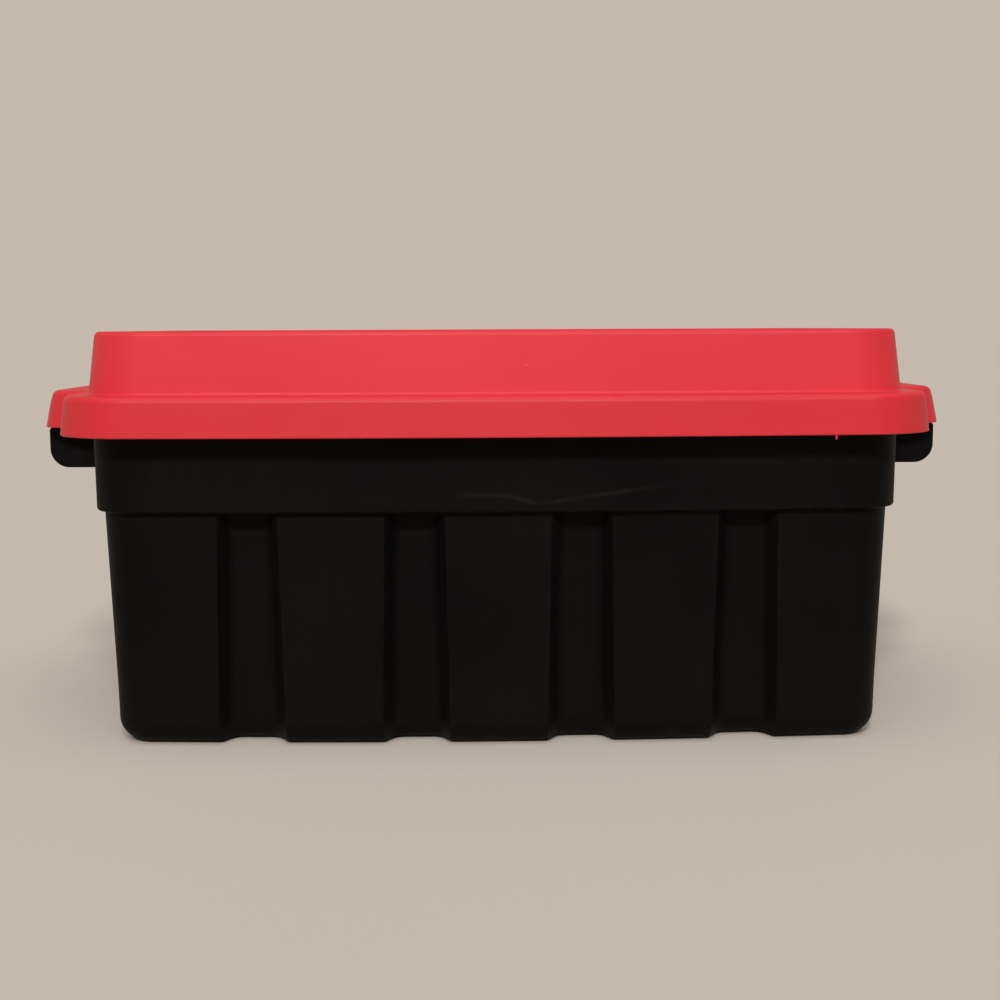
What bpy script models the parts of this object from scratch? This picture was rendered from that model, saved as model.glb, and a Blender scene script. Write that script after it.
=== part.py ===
"""A stackable storage bin: a fluted, tapering tub with moulded carry handles, and a domed lid.

Metres, +Z up. The origin is the middle of the tub's base, on the surface that it stands on.
+X runs along the bin's length, from one handle to the other.

Every wall follows one master outline, the lower edge of the lid's skirt seen from above. A wall
is named by its inset, the distance that it lies inside that outline.
"""

import math

import bmesh
import bpy

# Overall sizes.
LENGTH = 0.710
WIDTH = 0.440
HEIGHT = 0.300

# The master outline: a rounded rectangle with bowed long sides and a lobe over each handle.
WALL_BOW = 0.008
LOBE_REACH = 0.040
END_X = LENGTH / 2 - LOBE_REACH
SIDE_Y = WIDTH / 2 - WALL_BOW
CORNER_RADIUS = 0.0605
LOBE_FLAT = 0.050
LOBE_RADIUS = 0.030
LOBE_FILLET = 0.014
# The share of its reach that a lobe keeps at the top of the skirt and of the tub's lip.
LOBE_TOP_SHARE = 0.93
LIP_TOP_SHARE = 0.97
CORNER_STEPS = 7

# Heights.
STEP_Z = 0.1708
BAND_Z = 0.1738
SKIRT_Z = 0.2268
LEDGE_Z = 0.2553

# The lobes and the rim inside them droop towards their ends.
DROOP = 0.0015
DROOP_START_X = 0.296

# The tub's walls.
TUB_WALL = 0.0026
BASE_INSET = 0.0349
BODY_TOP_INSET = 0.0292
BAND_LOW_INSET = 0.0236
BAND_TOP_INSET = 0.0228
BASE_FILLET = 0.018
FILLET_STEPS = 4
# The step's underside, as insets from the band's foot and heights above the body's top.
STEP_PROFILE = [(0.0026, 0.0014), (0.0007, 0.0026)]

# The flutes: the same pitch all round, four on a long side and two on an end.
FLUTE_PITCH = 0.1192
FLUTE_DEPTH = 0.014
FLUTE_TOP_HALF = 0.0215
FLUTE_LOW_HALF = 0.0242
FLUTE_SLOPE = 0.0085
# They grow shallower over this height at their tops.
FLUTE_END = 0.016
FLUTE_END_DEPTH = 0.0085

# The lid's shell, and the gap under it.
LID_WALL = 0.0024
GAP = 0.0003
DOME_INSET = 0.0192
DOME_TOP_INSET = 0.0250
DOME_EXTRA_RADIUS = 0.006
SKIRT_TOP_INSET = 0.0032
EDGE_RADIUS = 0.004
EDGE_STEPS = 2
SEAT_INSET = 0.0345
SEAT_DRAFT = 0.0006
SEAT_DEPTH = 0.005

# The tub's rim, lip and handles.
RIM_TOP_Z = LEDGE_Z - LID_WALL - GAP
RIM_UNDER_Z = RIM_TOP_Z - TUB_WALL
LIP_TOP_INSET = 0.0118
LIP_LOW_INSET = 0.0085
LIP_Z = 0.2335
RIM_CHAMFER = 0.0025
GUSSET_Y = LOBE_FLAT + 0.003
GUSSET_THICK = 0.003
GUSSET_LOW_Z = 0.1925
GUSSET_RADIUS = 0.0150
GUSSET_OUT_X = LENGTH / 2 - 0.0019
GUSSET_SHOULDER_Z = SKIRT_Z - 0.0040
GUSSET_NECK_X = LENGTH / 2 - LID_WALL - 0.0012
GUSSET_STEPS = 6


def flute_stations(middle, half_width):
    """The four corners of one flute, as places along its wall."""
    floor = half_width - FLUTE_SLOPE
    return [middle - half_width, middle - floor, middle + floor, middle + half_width]


def flute_cut(place, half_width, depth):
    """How deep the wall is cut at this place along it."""
    to_middle = min(abs(abs(place) - FLUTE_PITCH * k) for k in (0.5, 1.5))
    share = (half_width - to_middle) / FLUTE_SLOPE
    return depth * min(max(share, 0), 1)


def lobe_side(inset):
    """Points down one side of the lobe at this inset, as distances out from the wall and y."""
    radius = LOBE_RADIUS - inset
    fillet = LOBE_FILLET + inset
    turn = math.acos((fillet + radius - LOBE_REACH) / (radius + fillet))
    fillet_y = LOBE_FLAT + (radius + fillet) * math.sin(turn)
    points = []
    for share in (0, 1 / 2, 1):
        angle = turn * share
        points.append((fillet * (1 - math.cos(angle)), fillet_y - fillet * math.sin(angle)))
    for share in (3 / 4, 1 / 2, 1 / 4, 0):
        angle = turn * share
        out = LOBE_REACH - radius * (1 - math.cos(angle))
        points.append((out, LOBE_FLAT + radius * math.sin(angle)))
    return points


def outline(inset, lobe=None, cut=0, half_width=FLUTE_TOP_HALF, extra_radius=0):
    """The closed outline at this inset, anticlockwise, always with the same number of points.

    An end wall's points lie at the flutes' corners if lobe is None. Otherwise they lie beside
    those of a lobe, and lobe is the share of the lobe's reach that they stand out by.
    """
    end_x = END_X - inset
    side_y = SIDE_Y - inset
    radius = CORNER_RADIUS - inset + extra_radius
    straight = end_x - radius
    near = flute_stations(FLUTE_PITCH / 2, half_width)
    far = flute_stations(FLUTE_PITCH * 3 / 2, half_width)

    quarter = [(0, -side_y - WALL_BOW)]
    for x in near + far:
        bow = WALL_BOW * (1 - (x / straight) ** 2)
        quarter.append((x, -side_y - bow + flute_cut(x, half_width, cut)))
    for k in range(CORNER_STEPS + 1):
        turn = math.pi / 2 * k / CORNER_STEPS
        x = straight + radius * math.sin(turn)
        y = radius - side_y - radius * math.cos(turn)
        quarter.append((x, y))
    reach = LOBE_REACH * (lobe or 0)
    if lobe is None:
        corner_y = side_y - radius
        wall = [corner_y + (near[3] - corner_y) * share for share in (1 / 4, 1 / 2, 3 / 4)]
        beside = [near[3], near[2], (near[2] + LOBE_FLAT) / 2, LOBE_FLAT]
        down_end = [(0, y) for y in wall + beside]
    else:
        down_end = [(out * lobe, y) for out, y in lobe_side(inset if lobe else DOME_INSET)]
    down_end += [(reach, near[1]), (reach, near[0]), (reach, 0)]
    for out, y in down_end:
        quarter.append((end_x + out - flute_cut(y, half_width, cut), -y))

    front = [(-x, y) for x, y in reversed(quarter[1:])] + quarter
    back = [(-x, -y) for x, y in front[1:-1]]
    return front + back


def edge(inset, z, radius, steps, **shape):
    """Rings round an edge, from the flat at z to the upright wall at this inset.

    A positive radius rounds upwards from the flat, and a negative one downwards.
    """
    rings = []
    for k in range(steps + 1):
        turn = math.pi / 2 * k / steps
        ring = outline(inset + abs(radius) * (1 - math.sin(turn)), **shape)
        rings.append((ring, z + radius * (1 - math.cos(turn))))
    return rings


def droop(x):
    """How far the rim and the lid hang down at this x."""
    return DROOP * max(abs(x) - DROOP_START_X, 0) / (LENGTH / 2 - DROOP_START_X)


def loft(name, rings):
    """An open shell through rings of matching points, closed by a flat face at the first ring."""
    mesh = bpy.data.meshes.new(name)
    shape = bmesh.new()
    loops = [[shape.verts.new((x, y, z - droop(x))) for x, y in ring] for ring, z in rings]
    count = len(loops[0])
    for low, high in zip(loops, loops[1:]):
        for k in range(count):
            after = (k + 1) % count
            shape.faces.new((low[k], low[after], high[after], high[k]))
    shape.faces.new(list(reversed(loops[0])))
    shape.to_mesh(mesh)
    shape.free()
    return bpy.data.objects.new(name, mesh)


def add_wall(piece, thickness):
    """Gives an open shell its wall, on the side away from its normals."""
    wall = piece.modifiers.new("Wall", "SOLIDIFY")
    wall.thickness = thickness
    wall.offset = -1
    wall.use_even_offset = True
    wall.use_quality_normals = True


def make_tub(collection):
    """The fluted tub with its stepped band, rim and downturned lip."""
    base = {"cut": FLUTE_DEPTH, "half_width": FLUTE_LOW_HALF}
    rings = edge(BASE_INSET, 0, BASE_FILLET, FILLET_STEPS, **base)
    share = FLUTE_END / (STEP_Z - BASE_FILLET)
    inset = BODY_TOP_INSET + (BASE_INSET - BODY_TOP_INSET) * share
    half_width = FLUTE_TOP_HALF + (FLUTE_LOW_HALF - FLUTE_TOP_HALF) * share
    full = {"cut": FLUTE_DEPTH, "half_width": half_width}
    rings.append((outline(inset, **full), STEP_Z - FLUTE_END))
    rings.append((outline(BODY_TOP_INSET, cut=FLUTE_END_DEPTH), STEP_Z))
    for inward, up in STEP_PROFILE:
        rings.append((outline(BAND_LOW_INSET + inward), STEP_Z + up))
    rings.append((outline(BAND_LOW_INSET), BAND_Z))
    rings.append((outline(BAND_TOP_INSET, lobe=0), RIM_UNDER_Z))
    rings += edge(LIP_TOP_INSET, RIM_UNDER_Z, -RIM_CHAMFER, 1, lobe=LIP_TOP_SHARE)
    rings.append((outline(LIP_LOW_INSET, lobe=1), LIP_Z))
    tub = loft("tub", rings)
    collection.objects.link(tub)
    add_wall(tub, TUB_WALL)
    return tub


def make_gusset(name, end, side, collection):
    """One of the plates under a handle: a flat outline in the XZ plane with a rounded corner."""
    inner_x = END_X - BAND_TOP_INSET - TUB_WALL / 2
    top_z = RIM_UNDER_Z + TUB_WALL / 2
    top_x = END_X + LOBE_REACH * LIP_TOP_SHARE - LIP_TOP_INSET + TUB_WALL / 2
    points = [(inner_x, top_z), (inner_x, GUSSET_LOW_Z)]
    for k in range(GUSSET_STEPS + 1):
        turn = math.pi / 2 * k / GUSSET_STEPS
        x = GUSSET_OUT_X - GUSSET_RADIUS * (1 - math.sin(turn))
        points.append((x, GUSSET_LOW_Z + GUSSET_RADIUS * (1 - math.cos(turn))))
    neck_z = GUSSET_SHOULDER_Z + GUSSET_OUT_X - GUSSET_NECK_X
    points += [(GUSSET_OUT_X, GUSSET_SHOULDER_Z), (GUSSET_NECK_X, neck_z)]
    points.append((top_x, top_z - droop(top_x)))

    curve = bpy.data.curves.new(name, "CURVE")
    curve.dimensions = "2D"
    curve.fill_mode = "BOTH"
    curve.extrude = GUSSET_THICK / 2
    spline = curve.splines.new("POLY")
    spline.points.add(len(points) - 1)
    for point, (x, z) in zip(spline.points, points):
        point.co = (end * x, z, 0, 1)
    spline.use_cyclic_u = True
    flat = bpy.data.objects.new(name, curve)
    flat.rotation_euler = (math.pi / 2, 0, 0)
    flat.location = (0, side * (GUSSET_Y - GUSSET_THICK / 2), 0)
    collection.objects.link(flat)
    return as_mesh(flat, collection)


def as_mesh(flat, collection):
    """Turns a filled curve into a closed mesh in its place."""
    bpy.context.view_layer.update()
    name = flat.name
    graph = bpy.context.evaluated_depsgraph_get()
    mesh = bpy.data.meshes.new_from_object(flat.evaluated_get(graph))
    shape = bmesh.new()
    shape.from_mesh(mesh)
    bmesh.ops.remove_doubles(shape, verts=shape.verts, dist=0.00001)
    bmesh.ops.recalc_face_normals(shape, faces=shape.faces)
    shape.to_mesh(mesh)
    shape.free()
    solid = bpy.data.objects.new(name, mesh)
    solid.matrix_world = flat.matrix_world
    bpy.data.objects.remove(flat)
    solid.name = name
    collection.objects.link(solid)
    solid.hide_render = True
    solid.display_type = "WIRE"
    return solid


def add_handles(tub, collection):
    """Joins two plates to each end of the tub, under the lobes of its rim."""
    for end in (-1, 1):
        for side in (-1, 1):
            gusset = make_gusset(f"gusset_{end}_{side}", end, side, collection)
            join = tub.modifiers.new(gusset.name, "BOOLEAN")
            join.operation = "UNION"
            join.object = gusset


def make_lid(collection):
    """The lid: a sunk seat for the bin above, a dome, a ledge and a downturned skirt."""
    seat_z = HEIGHT - SEAT_DEPTH
    dome = {"lobe": 0, "extra_radius": DOME_EXTRA_RADIUS}
    rings = [(outline(SEAT_INSET, **dome), seat_z)]
    rings.append((outline(SEAT_INSET - SEAT_DRAFT, **dome), HEIGHT))
    rings += edge(DOME_TOP_INSET, HEIGHT, -EDGE_RADIUS, EDGE_STEPS, **dome)
    rings.append((outline(DOME_INSET, **dome), LEDGE_Z))
    rings += edge(SKIRT_TOP_INSET, LEDGE_Z, -EDGE_RADIUS, EDGE_STEPS, lobe=LOBE_TOP_SHARE)
    rings.append((outline(0, lobe=1), SKIRT_Z))
    lid = loft("lid", rings)
    lid.data.flip_normals()
    collection.objects.link(lid)
    add_wall(lid, LID_WALL)
    return lid


def paint(piece, colour, roughness):
    """Gives a piece its own Principled material."""
    material = bpy.data.materials.new(piece.name)
    material.use_nodes = True
    shader = material.node_tree.nodes["Principled BSDF"]
    shader.inputs["Base Color"].default_value = (*colour, 1)
    shader.inputs["Roughness"].default_value = roughness
    shader.inputs["Metallic"].default_value = 0
    piece.data.materials.append(material)


def clear_scene():
    for old in list(bpy.data.objects):
        bpy.data.objects.remove(old)


def main():
    clear_scene()
    bin_parts = bpy.data.collections.new("storage_bin")
    helpers = bpy.data.collections.new("helpers")
    for collection in (bin_parts, helpers):
        bpy.context.scene.collection.children.link(collection)

    tub = make_tub(bin_parts)
    add_handles(tub, helpers)
    paint(tub, (0.012, 0.012, 0.012), 0.55)
    lid = make_lid(bin_parts)
    paint(lid, (0.76, 0.055, 0.065), 0.45)
    for piece in (tub, lid):
        piece.data.shade_smooth()
        piece.data.set_sharp_from_angle(angle=math.radians(30))


main()
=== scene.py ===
"""Looks for the stackable storage bin: a black fluted tub with a red domed lid.

Both CAD nodes are replaced by finer shells of the same shape, with rounded edges, and get
moulded-plastic materials. Metres, +Z up, +X along the bin's length.
"""

import math

import bmesh
import bpy
from mathutils import Matrix, Vector


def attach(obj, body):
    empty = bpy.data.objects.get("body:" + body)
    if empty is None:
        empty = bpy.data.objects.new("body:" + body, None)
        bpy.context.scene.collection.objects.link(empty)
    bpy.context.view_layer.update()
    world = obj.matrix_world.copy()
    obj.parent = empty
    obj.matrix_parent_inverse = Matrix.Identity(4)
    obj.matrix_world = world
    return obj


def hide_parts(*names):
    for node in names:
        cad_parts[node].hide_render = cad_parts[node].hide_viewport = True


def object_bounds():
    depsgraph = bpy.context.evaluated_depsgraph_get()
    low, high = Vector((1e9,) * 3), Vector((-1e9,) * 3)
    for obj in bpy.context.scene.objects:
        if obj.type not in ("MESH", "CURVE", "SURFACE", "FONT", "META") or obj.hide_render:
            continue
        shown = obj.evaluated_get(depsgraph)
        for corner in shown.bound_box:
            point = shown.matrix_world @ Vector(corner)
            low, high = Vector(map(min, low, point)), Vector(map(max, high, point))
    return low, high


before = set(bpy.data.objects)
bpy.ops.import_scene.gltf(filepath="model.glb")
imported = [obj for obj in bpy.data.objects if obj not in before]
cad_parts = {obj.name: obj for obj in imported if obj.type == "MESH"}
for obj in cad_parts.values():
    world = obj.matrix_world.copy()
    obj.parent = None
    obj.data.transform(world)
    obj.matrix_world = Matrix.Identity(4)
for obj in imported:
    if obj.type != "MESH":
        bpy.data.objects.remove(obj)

cad_low, cad_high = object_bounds()
LENGTH = cad_high.x - cad_low.x
WIDTH = cad_high.y - cad_low.y
HEIGHT = cad_high.z

# The master outline: a rounded rectangle with bowed long sides and a lobe over each handle.
# Every wall is named by its inset, the distance that it lies inside that outline.
WALL_BOW = 0.008
LOBE_REACH = 0.040
END_X = LENGTH / 2 - LOBE_REACH
SIDE_Y = WIDTH / 2 - WALL_BOW
CORNER_RADIUS = 0.0605
CORNER_STEPS = 18
LOBE_FLAT = 0.050
LOBE_RADIUS = 0.030
LOBE_FILLET = 0.014
# The share of its reach that a lobe keeps at the top of the skirt and of the tub's lip.
LOBE_TOP_SHARE = 0.93
LIP_TOP_SHARE = 0.97
FILLET_STEPS = 12
LOBE_STEPS = 14

# A shell's closed ends are filled by rings at these shares of its last ring's size.
CAPS = (0.93, 0.80, 0.60, 0.35, 0.12)

# Heights.
STEP_Z = 0.1711
BAND_Z = 0.1723
SKIRT_Z = 0.2268
LEDGE_Z = 0.2553

# The lobes and the rim inside them droop towards their ends.
DROOP = 0.0015
DROOP_START_X = 0.296

# The tub's walls.
TUB_WALL = 0.0026
BASE_INSET = 0.0349
BODY_TOP_INSET = 0.0292
BAND_LOW_INSET = 0.0236
BAND_TOP_INSET = 0.0228
BASE_FILLET = 0.018
BODY_EDGE_RADIUS = 0.0010
BAND_EDGE_RADIUS = 0.0020

# The flutes.
FLUTE_PITCH = 0.1192
FLUTE_DEPTH = 0.014
FLUTE_TOP_HALF = 0.0215
FLUTE_LOW_HALF = 0.0242
FLUTE_SLOPE = 0.0085
FLUTE_ANGLE = math.atan2(FLUTE_DEPTH, FLUTE_SLOPE)
FLUTE_EDGE_RADIUS = 0.0014
FLUTE_FLOOR_RADIUS = 0.009
# They grow shallower over this height at their tops.
FLUTE_END = 0.016
FLUTE_END_DEPTH = 0.0085

# The lid's shell.
LID_WALL = 0.0024
GAP = 0.0003
DOME_INSET = 0.0192
DOME_TOP_INSET = 0.0250
DOME_EXTRA_RADIUS = 0.006
SKIRT_TOP_INSET = 0.0032
DOME_EDGE_RADIUS = 0.004
DOME_FOOT_RADIUS = 0.0025
LEDGE_EDGE_RADIUS = 0.0052
SEAT_INSET = 0.0345
SEAT_DRAFT = 0.0006
SEAT_DEPTH = 0.005
SEAT_FLOOR_RADIUS = 0.0015
SEAT_EDGE_RADIUS = 0.0012

# The tub's rim, lip and handle plates.
RIM_TOP_Z = LEDGE_Z - LID_WALL - GAP
RIM_UNDER_Z = RIM_TOP_Z - TUB_WALL
LIP_TOP_INSET = 0.0118
LIP_LOW_INSET = 0.0085
LIP_Z = 0.2335
LIP_EDGE_RADIUS = 0.0015
GUSSET_Y = LOBE_FLAT + 0.003
GUSSET_THICK = 0.003
GUSSET_LOW_Z = 0.1925
GUSSET_RADIUS = 0.0150
GUSSET_OUT_X = LENGTH / 2 - 0.0019
GUSSET_SHOULDER_Z = SKIRT_Z - 0.0040
GUSSET_NECK_X = LENGTH / 2 - LID_WALL - 0.0012
GUSSET_STEPS = 12
GUSSET_EDGE_RADIUS = 0.0008

# A crumb of flash under the skirt's front edge.
NIB_X = 0.234
NIB_SIZE = (0.0018, 0.0012, 0.0046)
NIB_BEHIND_FACE = 0.0011
NIB_BELOW_EDGE = 0.0012

# The rubbed line on the band's front: the place of its dip, and its slopes to either side.
SCUFF_DIP_X = 0.027
SCUFF_DIP_Z = 0.1785
SCUFF_LEFT_SLOPE = 0.30
SCUFF_LEFT_RISE = 0.0064
SCUFF_RIGHT_SLOPE = 0.135

# The studio: linear colours.
FLOOR_RADIUS = 60
FLOOR_DARK = (0.540, 0.474, 0.414)
FLOOR_PALE = (0.566, 0.499, 0.438)
SKY_LOW = (0.565, 0.490, 0.425)
SKY_HIGH = (0.12, 0.115, 0.11)
SKY_LEFT = (0.30, 0.27, 0.24)
SKY_RIGHT = (0.06, 0.055, 0.05)
SKY_BEHIND = (0.25, 0.222, 0.195)

# The camera: its place, its angles in radians, and its lens in millimetres.
CAMERA_PLACE = (-0.0220, -1.2083, 0.3019)
CAMERA_YAW = 0.0226
CAMERA_PITCH = 0.1187
CAMERA_ROLL = -0.0042
CAMERA_LENS = 52.15


def flute_half_profile(half_width):
    """One half of a flute: distances from its middle, with shares of its depth."""
    tangent = math.tan(FLUTE_ANGLE / 2)
    floor_end = half_width - FLUTE_SLOPE - FLUTE_FLOOR_RADIUS * tangent
    points = [(0, 1), (floor_end / 2, 1)]
    for k in range(7):
        turn = FLUTE_ANGLE * k / 6
        s = floor_end + FLUTE_FLOOR_RADIUS * math.sin(turn)
        points.append((s, 1 - FLUTE_FLOOR_RADIUS * (1 - math.cos(turn)) / FLUTE_DEPTH))
    edge_end = half_width + FLUTE_EDGE_RADIUS * tangent
    arc = []
    for k in range(5):
        turn = FLUTE_ANGLE * (4 - k) / 4
        s = edge_end - FLUTE_EDGE_RADIUS * math.sin(turn)
        arc.append((s, FLUTE_EDGE_RADIUS * (1 - math.cos(turn)) / FLUTE_DEPTH))
    points.append(tuple((a + b) / 2 for a, b in zip(points[-1], arc[0])))
    return points + arc


def flute(middle, half_width):
    """The stations of one flute along its wall, in rising order, with shares of its depth."""
    half = flute_half_profile(half_width)
    rising = [(-s, share) for s, share in reversed(half[1:])] + half
    return [(middle + s, share) for s, share in rising]


def spread(start, end, count):
    """Evenly spaced places between two stations, leaving out both."""
    return [start + (end - start) * (k + 1) / (count + 1) for k in range(count)]


def lobe_half(inset, flat_count):
    """Down one side of the lobe to its middle: distances out from the wall, and y."""
    radius = LOBE_RADIUS - inset
    fillet = LOBE_FILLET + inset
    turn = math.acos((fillet + radius - LOBE_REACH) / (radius + fillet))
    fillet_y = LOBE_FLAT + (radius + fillet) * math.sin(turn)
    points = []
    for k in range(FILLET_STEPS):
        angle = turn * k / FILLET_STEPS
        points.append((fillet * (1 - math.cos(angle)), fillet_y - fillet * math.sin(angle)))
    for k in range(LOBE_STEPS + 1):
        angle = turn * (LOBE_STEPS - k) / LOBE_STEPS
        points.append(
            (LOBE_REACH - radius * (1 - math.cos(angle)), LOBE_FLAT + radius * math.sin(angle))
        )
    return points + [(LOBE_REACH, y) for y in spread(LOBE_FLAT, 0, flat_count)]


def outline(inset, half_width, lobe=None, cut=0, extra_radius=0):
    """The closed outline at this inset, anticlockwise, always with the same number of points.

    An end wall's points lie at the flutes' stations if lobe is None. Otherwise they lie beside
    those of a lobe, and lobe is the share of the lobe's reach that they stand out by.
    """
    end_x = END_X - inset
    side_y = SIDE_Y - inset
    radius = CORNER_RADIUS - inset + extra_radius
    straight = end_x - radius
    near = flute(FLUTE_PITCH / 2, half_width)
    far = flute(FLUTE_PITCH * 3 / 2, half_width)
    between = [(s, 0) for s in spread(near[-1][0], far[0][0], 3)]
    beyond = [(s, 0) for s in spread(far[-1][0], straight, 1)]

    quarter = []
    for x, share in [(0, 0)] + [(near[0][0] / 2, 0)] + near + between + far + beyond:
        bow = WALL_BOW * (1 - (x / straight) ** 2)
        quarter.append((x, cut * share - side_y - bow))
    for k in range(CORNER_STEPS + 1):
        turn = math.pi / 2 * k / CORNER_STEPS
        x = straight + radius * math.sin(turn)
        quarter.append((x, radius - side_y - radius * math.cos(turn)))
    corner_y = side_y - radius
    walls = [(s, 0) for s in spread(corner_y, near[-1][0], 2)]
    middle = [(s, 0) for s in spread(near[0][0], 0, 2)] + [(0, 0)]
    down = walls + list(reversed(near)) + middle
    if lobe is None:
        quarter += [(end_x - cut * share, -y) for y, share in down]
    else:
        flat_count = len(down) - FILLET_STEPS - LOBE_STEPS - 2
        side = lobe_half(inset if lobe else DOME_INSET, flat_count) + [(LOBE_REACH, 0)]
        quarter += [(end_x + out * lobe, -y) for out, y in side]

    front = [(-x, y) for x, y in reversed(quarter[1:])] + quarter
    back = [(-x, -y) for x, y in front[1:-1]]
    return front + back


def droop(x):
    """How far the rim and the lid hang down at this x."""
    return DROOP * max(abs(x) - DROOP_START_X, 0) / (LENGTH / 2 - DROOP_START_X)


class Row:
    """One level of a shell's outer skin."""

    def __init__(self, inset, z, lobe=None, cut=0, extra=0, radius=0, steps=0, worn=0):
        self.inset = inset
        self.z = z
        self.lobe = lobe
        self.cut = cut
        self.extra = extra
        self.radius = radius
        self.steps = steps
        self.worn = worn

    def moved(self, inset, z, worn=None):
        row = Row(inset, z, self.lobe, self.cut, self.extra)
        row.worn = self.worn if worn is None else worn
        return row


def rounded(rows):
    """The same path with an arc at each row that has a radius."""
    path = []
    for k, row in enumerate(rows):
        if not row.radius:
            path.append(row)
            continue
        here = Vector((-row.inset, row.z))
        back = Vector((-rows[k - 1].inset, rows[k - 1].z)) - here
        ahead = Vector((-rows[k + 1].inset, rows[k + 1].z)) - here
        back.normalize()
        ahead.normalize()
        opening = back.angle(ahead)
        centre = here + (back + ahead).normalized() * row.radius / math.sin(opening / 2)
        start = here + back * row.radius / math.tan(opening / 2) - centre
        end = here + ahead * row.radius / math.tan(opening / 2) - centre
        turn = start.angle_signed(end)
        for n in range(row.steps + 1):
            share = n / row.steps
            spot = centre + start @ Matrix.Rotation(turn * share, 2)
            path.append(row.moved(-spot.x, spot.y, row.worn * math.sin(math.pi * share)))
    return path


def offset(path, distance):
    """The path moved sideways by this distance, to the left of its direction if positive."""
    spots = [Vector((-row.inset, row.z)) for row in path]
    moved = []
    for k, (row, spot) in enumerate(zip(path, spots)):
        before = spot - spots[k - 1] if k else spots[1] - spots[0]
        after = spots[k + 1] - spot if k + 1 < len(spots) else before
        sides = [Vector((-d.y, d.x)).normalized() for d in (before, after)]
        middle = (sides[0] + sides[1]).normalized()
        spot = spot + middle * distance / middle.dot(sides[0])
        moved.append(row.moved(-spot.x, spot.y, 0))
    return moved


def rim_end(outer, inner, radius=0.0008, steps=3):
    """Rounds the free edge between the ends of the two skins."""
    tip = Vector((-outer[-1].inset, outer[-1].z))
    far = Vector((-inner[-1].inset, inner[-1].z))
    along = (tip - Vector((-outer[-2].inset, outer[-2].z))).normalized()
    across = (far - tip).normalized()
    arcs = []
    for corner, side in ((tip, across), (far, -across)):
        centre = corner - along * radius + side * radius
        arc = []
        for k in range(steps + 1):
            turn = math.pi / 2 * k / steps
            spot = centre - side * radius * math.cos(turn) + along * radius * math.sin(turn)
            arc.append(outer[-1].moved(-spot.x, spot.y, 1))
        arcs.append(arc)
    return arcs[0] + list(reversed(arcs[1]))


def flute_half_at(z):
    """A flute's half width at this height."""
    share = (z - BASE_FILLET) / (STEP_Z - BASE_FILLET)
    return FLUTE_LOW_HALF + (FLUTE_TOP_HALF - FLUTE_LOW_HALF) * min(max(share, 0), 1)


def flute_depth_at(z):
    """How deep the flutes are at this height."""
    share = min(max((z - STEP_Z) / FLUTE_END + 1, 0), 1)
    return FLUTE_DEPTH - (FLUTE_DEPTH - FLUTE_END_DEPTH) * share**2


def shell(name, rows, wall, inside, caps):
    """A closed shell from its outer skin's rows: both skins, the rounded free edge, and both
    ends filled by shrinking rings."""
    outer = rounded(rows)
    inner = offset(outer, wall * inside)
    extra = wall * math.tan(FLUTE_ANGLE / 2)
    path = [(row, 0) for row in outer[:-1]]
    path += [(row, 0) for row in rim_end(outer, inner)]
    path += [(row, extra if row.cut else 0) for row in reversed(inner[:-1])]

    mesh = bpy.data.meshes.new(name)
    shape = bmesh.new()
    worn = shape.verts.layers.float.new("worn")

    def ring(points, z, amount):
        loop = []
        for x, y in points:
            vertex = shape.verts.new((x, y, z - droop(x)))
            vertex[worn] = amount
            loop.append(vertex)
        return loop

    loops = []
    for row, widened in path:
        half_width = flute_half_at(row.z) + widened
        points = outline(row.inset, half_width, row.lobe, row.cut, row.extra)
        loops.append(ring(points, row.z, row.worn))
    first = [(vertex.co.x, vertex.co.y) for vertex in loops[0]]
    last = [(vertex.co.x, vertex.co.y) for vertex in loops[-1]]
    for scale in caps:
        loops.insert(0, ring([(x * scale, y * scale) for x, y in first], path[0][0].z, 0))
        loops.append(ring([(x * scale, y * scale) for x, y in last], path[-1][0].z, 0))
    count = len(loops[0])
    for low, high in zip(loops, loops[1:]):
        for k in range(count):
            after = (k + 1) % count
            shape.faces.new((low[k], low[after], high[after], high[k]))
    shape.faces.new(list(reversed(loops[0])))
    shape.faces.new(loops[-1])
    bmesh.ops.recalc_face_normals(shape, faces=shape.faces)
    shape.to_mesh(mesh)
    shape.free()
    piece = bpy.data.objects.new(name, mesh)
    bpy.context.scene.collection.objects.link(piece)
    mesh.shade_smooth()
    weights = piece.modifiers.new("Shading", "WEIGHTED_NORMAL")
    weights.keep_sharp = True
    return piece


def wall_rows(low, high, count, **flags):
    """Rows up a straight wall between two (inset, z) levels, leaving out both ends."""
    rows = []
    for share in spread(0, 1, count):
        inset = low[0] + (high[0] - low[0]) * share
        rows.append(Row(inset, low[1] + (high[1] - low[1]) * share, **flags))
    return rows


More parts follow.
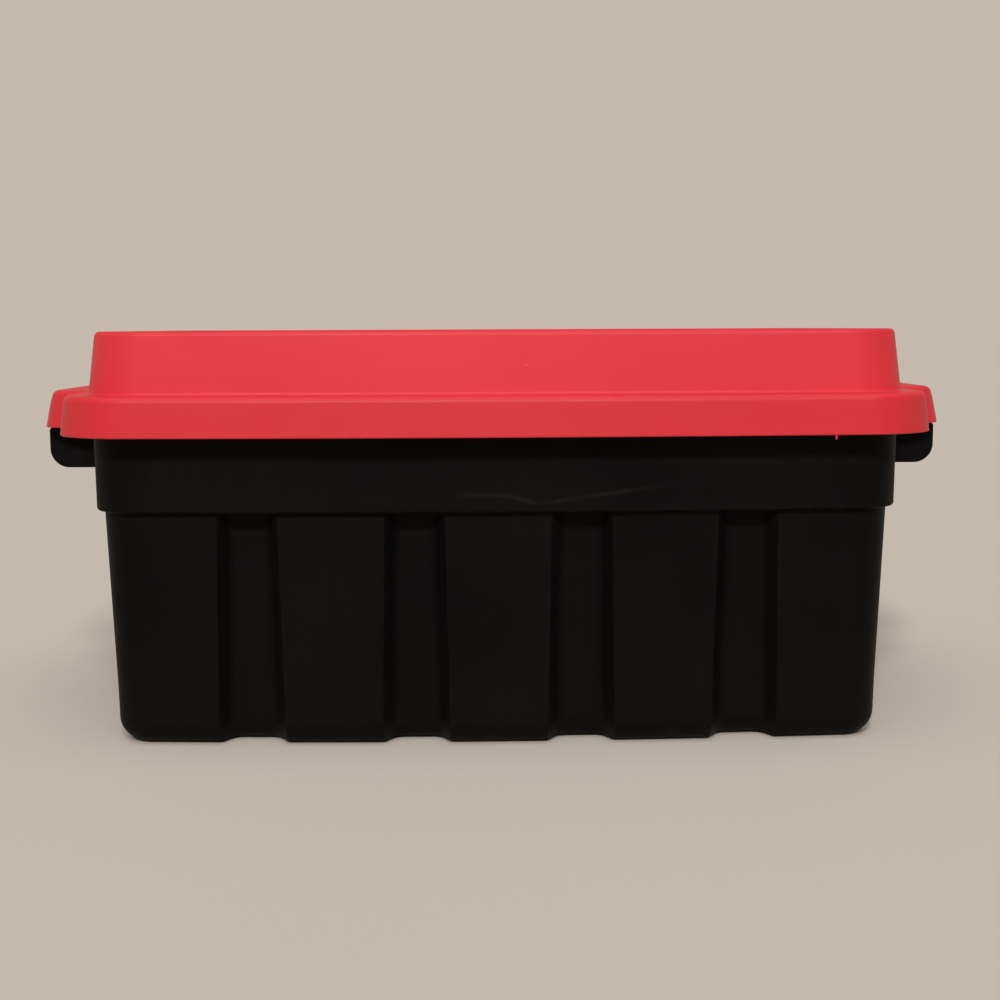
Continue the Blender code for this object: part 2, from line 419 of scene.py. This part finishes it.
def make_tub():
    foot = (BASE_INSET, BASE_FILLET)
    body_top = (BODY_TOP_INSET, STEP_Z)
    rows = [Row(BASE_INSET + BASE_FILLET + 0.001, 0, cut=FLUTE_DEPTH)]
    rows.append(Row(BASE_INSET, 0, cut=FLUTE_DEPTH, radius=BASE_FILLET, steps=10, worn=0.6))
    end_share = FLUTE_END / (STEP_Z - BASE_FILLET)
    end_inset = BODY_TOP_INSET + (BASE_INSET - BODY_TOP_INSET) * end_share
    flute_end = (end_inset, STEP_Z - FLUTE_END)
    rows += wall_rows(foot, flute_end, 5, cut=FLUTE_DEPTH)
    for row in wall_rows(flute_end, body_top, 6):
        row.cut = flute_depth_at(row.z)
        rows.append(row)
    rows.append(Row(*body_top, cut=FLUTE_END_DEPTH, radius=BODY_EDGE_RADIUS, steps=3))
    rows.append(Row(BAND_LOW_INSET, BAND_Z, radius=BAND_EDGE_RADIUS, steps=6, worn=0.7))
    rows += wall_rows((BAND_LOW_INSET, BAND_Z), (BAND_TOP_INSET, RIM_UNDER_Z), 3)
    for inset, lobe in ((BAND_TOP_INSET, 0), (LIP_TOP_INSET, LIP_TOP_SHARE)):
        rows.append(Row(inset, RIM_UNDER_Z, lobe=lobe, radius=LIP_EDGE_RADIUS, steps=3))
    rows.append(Row(LIP_LOW_INSET, LIP_Z, lobe=1))
    return shell("tub_shell", rows, TUB_WALL, 1, CAPS)


def make_lid():
    seat_z = HEIGHT - SEAT_DEPTH
    seat_edge = SEAT_INSET - SEAT_DRAFT
    dome = {"lobe": 0, "extra": DOME_EXTRA_RADIUS}
    rows = [Row(SEAT_INSET + 0.012, seat_z, **dome)]
    rows.append(Row(SEAT_INSET, seat_z, radius=SEAT_FLOOR_RADIUS, steps=4, **dome))
    rows.append(Row(seat_edge, HEIGHT, radius=SEAT_EDGE_RADIUS, steps=4, worn=0.5, **dome))
    rows.append(Row(DOME_TOP_INSET, HEIGHT, radius=DOME_EDGE_RADIUS, steps=8, worn=1, **dome))
    rows += wall_rows((DOME_TOP_INSET, HEIGHT), (DOME_INSET, LEDGE_Z), 3, **dome)
    rows.append(Row(DOME_INSET, LEDGE_Z, radius=DOME_FOOT_RADIUS, steps=5, **dome))
    lobe = LOBE_TOP_SHARE
    rows.append(
        Row(SKIRT_TOP_INSET, LEDGE_Z, lobe=lobe, radius=LEDGE_EDGE_RADIUS, steps=8, worn=1)
    )
    # The rows near the skirt's edge stop its wear from spreading up the wall.
    for share in (0.30, 0.60, 0.90, 0.96):
        drop = (LEDGE_Z - SKIRT_Z) * share
        reach = lobe + (1 - lobe) * share
        rows.append(Row(SKIRT_TOP_INSET * (1 - share), LEDGE_Z - drop, lobe=reach))
    rows.append(Row(0, SKIRT_Z, lobe=1))
    return shell("lid_shell", rows, LID_WALL, -1, CAPS)


def make_gusset(end, side):
    """One of the plates under a handle, from its outline in the XZ plane."""
    inner_x = END_X - BAND_TOP_INSET - TUB_WALL / 2
    top_z = RIM_UNDER_Z + TUB_WALL / 2
    top_x = END_X + LOBE_REACH * LIP_TOP_SHARE - LIP_TOP_INSET + TUB_WALL / 2
    points = [(inner_x, top_z), (inner_x, GUSSET_LOW_Z)]
    for k in range(GUSSET_STEPS + 1):
        turn = math.pi / 2 * k / GUSSET_STEPS
        x = GUSSET_OUT_X - GUSSET_RADIUS * (1 - math.sin(turn))
        points.append((x, GUSSET_LOW_Z + GUSSET_RADIUS * (1 - math.cos(turn))))
    neck_z = GUSSET_SHOULDER_Z + GUSSET_OUT_X - GUSSET_NECK_X
    points += [(GUSSET_OUT_X, GUSSET_SHOULDER_Z), (GUSSET_NECK_X, neck_z)]
    points.append((top_x, top_z - droop(top_x)))
    name = "handle_plate_" + ("left_" if end < 0 else "right_") + ("front" if side < 0 else "back")
    mesh = bpy.data.meshes.new(name)
    shape = bmesh.new()
    near = [shape.verts.new((end * x, side * GUSSET_Y, z)) for x, z in points]
    face = shape.faces.new(near)
    grown = bmesh.ops.extrude_face_region(shape, geom=[face])
    inner = [v for v in grown["geom"] if isinstance(v, bmesh.types.BMVert)]
    bmesh.ops.translate(shape, verts=inner, vec=(0, -side * GUSSET_THICK, 0))
    bmesh.ops.recalc_face_normals(shape, faces=shape.faces)
    shape.to_mesh(mesh)
    shape.free()
    plate = bpy.data.objects.new(name, mesh)
    bpy.context.scene.collection.objects.link(plate)
    mesh.shade_smooth()
    soften = plate.modifiers.new("Rounding", "BEVEL")
    soften.width = GUSSET_EDGE_RADIUS
    soften.segments = 3
    soften.limit_method = "ANGLE"
    weights = plate.modifiers.new("Shading", "WEIGHTED_NORMAL")
    weights.keep_sharp = True
    return plate


def make_nib():
    """A crumb of moulding flash that hangs from the front edge of the lid's skirt."""
    mesh = bpy.data.meshes.new("lid_flash_nib")
    shape = bmesh.new()
    bmesh.ops.create_uvsphere(shape, u_segments=16, v_segments=10, radius=0.5)
    shape.to_mesh(mesh)
    shape.free()
    mesh.shade_smooth()
    nib = bpy.data.objects.new("lid_flash_nib", mesh)
    face_y = -SIDE_Y - WALL_BOW * (1 - (NIB_X / (END_X - CORNER_RADIUS)) ** 2)
    nib.location = (NIB_X, face_y + NIB_BEHIND_FACE, SKIRT_Z - NIB_BELOW_EDGE)
    nib.scale = NIB_SIZE
    bpy.context.scene.collection.objects.link(nib)
    return nib


class Nodes:
    """Builds a node material with short calls."""

    def __init__(self, name):
        self.material = bpy.data.materials.new(name)
        self.material.use_nodes = True
        self.tree = self.material.node_tree
        self.shader = self.tree.nodes["Principled BSDF"]
        coordinates = self.tree.nodes.new("ShaderNodeTexCoord")
        self.place = coordinates.outputs["Object"]

    def link(self, value, socket):
        if isinstance(value, bpy.types.NodeSocket):
            self.tree.links.new(value, socket)
        else:
            socket.default_value = value

    def math(self, operation, a, b=0.0, c=0.0):
        node = self.tree.nodes.new("ShaderNodeMath")
        node.operation = operation
        for value, socket in zip((a, b, c), node.inputs):
            self.link(value, socket)
        return node.outputs[0]

    def axes(self):
        """The object's x, y and z, in metres."""
        node = self.tree.nodes.new("ShaderNodeSeparateXYZ")
        self.link(self.place, node.inputs[0])
        return node.outputs

    def stretched(self, scale):
        node = self.tree.nodes.new("ShaderNodeMapping")
        self.link(self.place, node.inputs["Vector"])
        node.inputs["Scale"].default_value = scale
        return node.outputs[0]

    def noise(self, scale, detail=2.0, rough=0.5, vector=None):
        node = self.tree.nodes.new("ShaderNodeTexNoise")
        self.link(vector or self.place, node.inputs["Vector"])
        node.inputs["Scale"].default_value = scale
        node.inputs["Detail"].default_value = detail
        node.inputs["Roughness"].default_value = rough
        return node.outputs["Fac"]

    def band(self, value, low, high, to_low=0.0, to_high=1.0):
        """Maps low..high to to_low..to_high, smoothly and clamped."""
        node = self.tree.nodes.new("ShaderNodeMapRange")
        node.interpolation_type = "SMOOTHSTEP"
        self.link(value, node.inputs["Value"])
        node.inputs["From Min"].default_value = low
        node.inputs["From Max"].default_value = high
        node.inputs["To Min"].default_value = to_low
        node.inputs["To Max"].default_value = to_high
        return node.outputs["Result"]

    def specks(self, scale, radius, share):
        """Sparse round specks: this share of the cells holds one."""
        node = self.tree.nodes.new("ShaderNodeTexVoronoi")
        self.link(self.place, node.inputs["Vector"])
        node.inputs["Scale"].default_value = scale
        split = self.tree.nodes.new("ShaderNodeSeparateColor")
        self.link(node.outputs["Color"], split.inputs[0])
        chosen = self.math("LESS_THAN", split.outputs[0], share)
        near = self.band(node.outputs["Distance"], radius * scale, radius * scale * 0.5)
        return self.math("MULTIPLY", chosen, near)

    def mix(self, share, first, second):
        node = self.tree.nodes.new("ShaderNodeMix")
        node.data_type = "RGBA"
        self.link(share, node.inputs["Factor"])
        for value, socket in ((first, node.inputs["A"]), (second, node.inputs["B"])):
            colour = [s for s in node.inputs if s.name == socket.name and s.type == "RGBA"][0]
            if isinstance(value, bpy.types.NodeSocket):
                self.tree.links.new(value, colour)
            else:
                colour.default_value = (*value, 1)
        return [s for s in node.outputs if s.type == "RGBA"][0]

    def attribute(self, name):
        node = self.tree.nodes.new("ShaderNodeAttribute")
        node.attribute_name = name
        return node.outputs["Fac"]

    def bump(self, height, distance, strength=1.0, under=None):
        node = self.tree.nodes.new("ShaderNodeBump")
        self.link(height, node.inputs["Height"])
        node.inputs["Distance"].default_value = distance
        node.inputs["Strength"].default_value = strength
        if under is not None:
            self.link(under, node.inputs["Normal"])
        return node.outputs["Normal"]


def lid_material():
    """Red polypropylene: fine moulded grain, faint flow marks, rubbed edges, sparse dust, and
    painted shade that darkens the skirt.
    """
    m = Nodes("lid_plastic_red")
    clouds = m.band(m.noise(7.0, 3.0), 0.3, 0.7)
    flow = m.band(m.noise(9.0, 4.0, vector=m.stretched((0.35, 1.0, 2.2))), 0.3, 0.7)
    colour = m.mix(clouds, (0.570, 0.0265, 0.037), (0.595, 0.0295, 0.040))
    colour = m.mix(m.math("MULTIPLY", flow, 0.35), colour, (0.620, 0.034, 0.045))
    # Painted shade: the skirt, below the ledge, is darkened in its colour to stand in for the
    # weaker light that falls on it.
    skirt = m.band(m.axes()[2], LEDGE_Z, LEDGE_Z - 0.004)
    colour = m.mix(m.math("MULTIPLY", skirt, 0.6), colour, (0.500, 0.021, 0.025))
    grain = m.noise(1400.0, 2.0)
    worn = m.math("MULTIPLY", m.attribute("worn"), m.band(m.noise(130.0, 5.0, 0.65), 0.35, 0.75))
    colour = m.mix(m.math("MULTIPLY", worn, 0.12), colour, (0.72, 0.075, 0.085))
    dust = m.specks(55.0, 0.0007, 0.10)
    colour = m.mix(m.math("MULTIPLY", dust, 0.5), colour, (0.85, 0.45, 0.42))
    m.link(colour, m.shader.inputs["Base Color"])
    rough = m.band(m.noise(20.0, 4.0), 0.25, 0.75, 0.42, 0.52)
    m.link(rough, m.shader.inputs["Roughness"])
    waves = m.bump(m.noise(16.0, 2.0), 0.0016, 0.25)
    peel = m.bump(m.noise(220.0, 2.0), 0.00010, 0.35, under=waves)
    m.link(m.bump(grain, 0.00008, 0.6, under=peel), m.shader.inputs["Normal"])
    m.shader.inputs["IOR"].default_value = 1.49
    m.shader.inputs["Specular IOR Level"].default_value = 0.18
    return m.material


def band_scuff(m):
    """One faint rubbed line along the front of the band, with a dip in it."""
    x, y, z = m.axes()
    from_dip = m.math("SUBTRACT", x, SCUFF_DIP_X)
    right = m.math("MULTIPLY", m.math("MAXIMUM", from_dip, 0.0), SCUFF_RIGHT_SLOPE)
    left = m.math("MULTIPLY", m.math("MINIMUM", from_dip, 0.0), -SCUFF_LEFT_SLOPE)
    rise = m.math("ADD", right, m.math("MINIMUM", left, SCUFF_LEFT_RISE))
    wobble = m.math("MULTIPLY", m.math("SUBTRACT", m.noise(70.0, 3.0), 0.5), 0.002)
    line_z = m.math("ADD", m.math("ADD", rise, wobble), SCUFF_DIP_Z)
    away = m.math("ABSOLUTE", m.math("SUBTRACT", z, line_z))
    line = m.band(away, 0.0026, 0.0002)
    start = m.band(x, SCUFF_DIP_X - 0.064, SCUFF_DIP_X - 0.040)
    end = m.band(x, SCUFF_DIP_X + 0.100, SCUFF_DIP_X + 0.055)
    front = m.math("LESS_THAN", y, 0.0)
    patchy = m.band(m.noise(90.0, 4.0), 0.30, 0.60, 0.35, 1.0)
    for part in (start, end, front, patchy):
        line = m.math("MULTIPLY", line, part)
    return line


def tub_material():
    """Black polypropylene: a coarser grain, grey scuffs and rubbed edges, pale specks of dust, a
    painted floor reflection low down and a painted shadow along the bottom edge.
    """
    m = Nodes("tub_plastic_black")
    clouds = m.band(m.noise(9.0, 3.0), 0.3, 0.7)
    colour = m.mix(clouds, (0.0026, 0.0023, 0.0023), (0.0036, 0.0033, 0.0032))
    height = m.axes()[2]
    # Painted reflection: towards the bottom the black turns lighter and warmer, standing in for
    # light thrown back from the floor.
    low = m.band(height, 0.12, 0.0)
    colour = m.mix(m.math("MULTIPLY", low, 0.5), colour, (0.0046, 0.0040, 0.0034))
    # Painted shadow: the lowest few millimetres are darkened, standing in for the shade at the
    # foot where the tub meets the floor.
    colour = m.mix(m.band(height, 0.008, 0.002), colour, (0.0008, 0.0007, 0.0006))
    worn = m.math("MULTIPLY", m.attribute("worn"), m.band(m.noise(60.0, 6.0, 0.7), 0.50, 0.78))
    colour = m.mix(m.math("MULTIPLY", worn, 0.30), colour, (0.045, 0.043, 0.041))
    streaks = m.band(m.noise(150.0, 3.0, vector=m.stretched((1.0, 1.0, 0.05))), 0.56, 0.72)
    patches = m.band(m.noise(8.0, 3.0), 0.54, 0.68)
    streaks = m.math("MULTIPLY", streaks, patches)
    colour = m.mix(m.math("MULTIPLY", streaks, 0.06), colour, (0.020, 0.019, 0.018))
    colour = m.mix(m.math("MULTIPLY", band_scuff(m), 0.38), colour, (0.016, 0.0145, 0.0135))
    dust = m.specks(40.0, 0.0008, 0.035)
    colour = m.mix(m.math("MULTIPLY", dust, 0.7), colour, (0.16, 0.15, 0.14))
    m.link(colour, m.shader.inputs["Base Color"])
    rough = m.band(m.noise(26.0, 4.0), 0.25, 0.75, 0.50, 0.60)
    m.link(rough, m.shader.inputs["Roughness"])
    waves = m.bump(m.noise(14.0, 2.0), 0.0014, 0.25)
    m.link(m.bump(m.noise(1100.0, 2.0), 0.00012, 0.7, under=waves), m.shader.inputs["Normal"])
    m.shader.inputs["IOR"].default_value = 1.49
    m.shader.inputs["Specular IOR Level"].default_value = 0.055
    return m.material


def finish_piece(piece, material, body):
    piece.data.materials.append(material)
    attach(piece, body)


def make_studio():
    """A wide plain floor, which meets a sky of its own brightness."""
    mesh = bpy.data.meshes.new("studio_floor")
    shape = bmesh.new()
    bmesh.ops.create_circle(shape, cap_ends=True, segments=96, radius=FLOOR_RADIUS)
    shape.to_mesh(mesh)
    shape.free()
    floor = bpy.data.objects.new("studio_floor", mesh)
    floor.location = (0, 0, -0.0003)
    bpy.context.scene.collection.objects.link(floor)
    m = Nodes("studio_floor_pale")
    m.link(m.mix(m.noise(1.2, 3.0), FLOOR_DARK, FLOOR_PALE), m.shader.inputs["Base Color"])
    m.shader.inputs["Roughness"].default_value = 1.0
    m.shader.inputs["Specular IOR Level"].default_value = 0.0
    mesh.materials.append(m.material)


def add_light(name, direction, spread_angle, power, colour=(1, 1, 1)):
    """A broad soft light that shines along this direction."""
    light = bpy.data.lights.new(name, "SUN")
    light.angle = math.radians(spread_angle)
    light.energy = power
    light.color = colour
    lamp = bpy.data.objects.new(name, light)
    lamp.rotation_euler = Vector(direction).to_track_quat("-Z", "Y").to_euler()
    bpy.context.scene.collection.objects.link(lamp)


def make_lights():
    """Two keys and a top light, and a sky that is darker at the sides, behind and overhead."""
    add_light("left_key", (0.22, 1.0, -0.75), 8, 1.70)
    add_light("right_key", (-0.18, 1.0, -0.75), 8, 1.00)
    add_light("top", (0.0, 0.3, -1.0), 50, 1.1)
    world = bpy.data.worlds.new("studio_air")
    bpy.context.scene.world = world
    world.use_nodes = True
    nodes = world.node_tree.nodes
    links = world.node_tree.links
    direction = nodes.new("ShaderNodeTexCoord")
    split = nodes.new("ShaderNodeSeparateXYZ")
    links.new(direction.outputs["Generated"], split.inputs[0])
    colour = nodes.new("ShaderNodeRGB").outputs[0]
    colour.default_value = (*SKY_LOW, 1)
    fades = [
        ("Y", -0.1, -0.7, SKY_BEHIND),
        ("X", -0.4, -0.9, SKY_LEFT),
        ("X", 0.4, 0.9, SKY_RIGHT),
        ("Z", 0.2, 0.7, SKY_HIGH),
        ("Z", 0.28, 0.10, SKY_LOW),
    ]
    for axis, start, end, tint in fades:
        fade = nodes.new("ShaderNodeMapRange")
        fade.interpolation_type = "SMOOTHSTEP"
        fade.inputs["From Min"].default_value = start
        fade.inputs["From Max"].default_value = end
        links.new(split.outputs[axis], fade.inputs["Value"])
        mixed = nodes.new("ShaderNodeMix")
        mixed.data_type = "RGBA"
        links.new(fade.outputs["Result"], mixed.inputs[0])
        links.new(colour, mixed.inputs[6])
        mixed.inputs[7].default_value = (*tint, 1)
        colour = mixed.outputs[2]
    links.new(colour, nodes["Background"].inputs["Color"])
    nodes["Background"].inputs["Strength"].default_value = 1.0


def make_camera():
    """The photograph's viewpoint: near the lid's height, looking slightly down."""
    forward = Vector((math.sin(CAMERA_YAW), math.cos(CAMERA_YAW), 0))
    right = Vector((math.cos(CAMERA_YAW), -math.sin(CAMERA_YAW), 0))
    up = Vector((0, 0, 1))
    look = forward * math.cos(CAMERA_PITCH) - up * math.sin(CAMERA_PITCH)
    lifted = up * math.cos(CAMERA_PITCH) + forward * math.sin(CAMERA_PITCH)
    side = right * math.cos(CAMERA_ROLL) + lifted * math.sin(CAMERA_ROLL)
    top = lifted * math.cos(CAMERA_ROLL) - right * math.sin(CAMERA_ROLL)
    camera = bpy.data.cameras.new("camera")
    camera.lens = CAMERA_LENS
    camera.sensor_width = 36
    camera.clip_start = 0.05
    camera.clip_end = 30
    view = bpy.data.objects.new("camera", camera)
    turned = Matrix((side, top, -look)).transposed().to_4x4()
    view.matrix_world = Matrix.Translation(CAMERA_PLACE) @ turned
    bpy.context.scene.collection.objects.link(view)
    bpy.context.scene.camera = view


tub_plastic = tub_material()
tub = make_tub()
finish_piece(tub, tub_plastic, "tub")
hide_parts("tub")
for end in (-1, 1):
    for side in (-1, 1):
        finish_piece(make_gusset(end, side), tub_plastic, "tub")
lid = make_lid()
lid_plastic = lid_material()
finish_piece(lid, lid_plastic, "lid")
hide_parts("lid")
finish_piece(make_nib(), lid_plastic, "lid")

make_studio()
make_lights()
make_camera()
bpy.context.scene.view_settings.view_transform = "Standard"
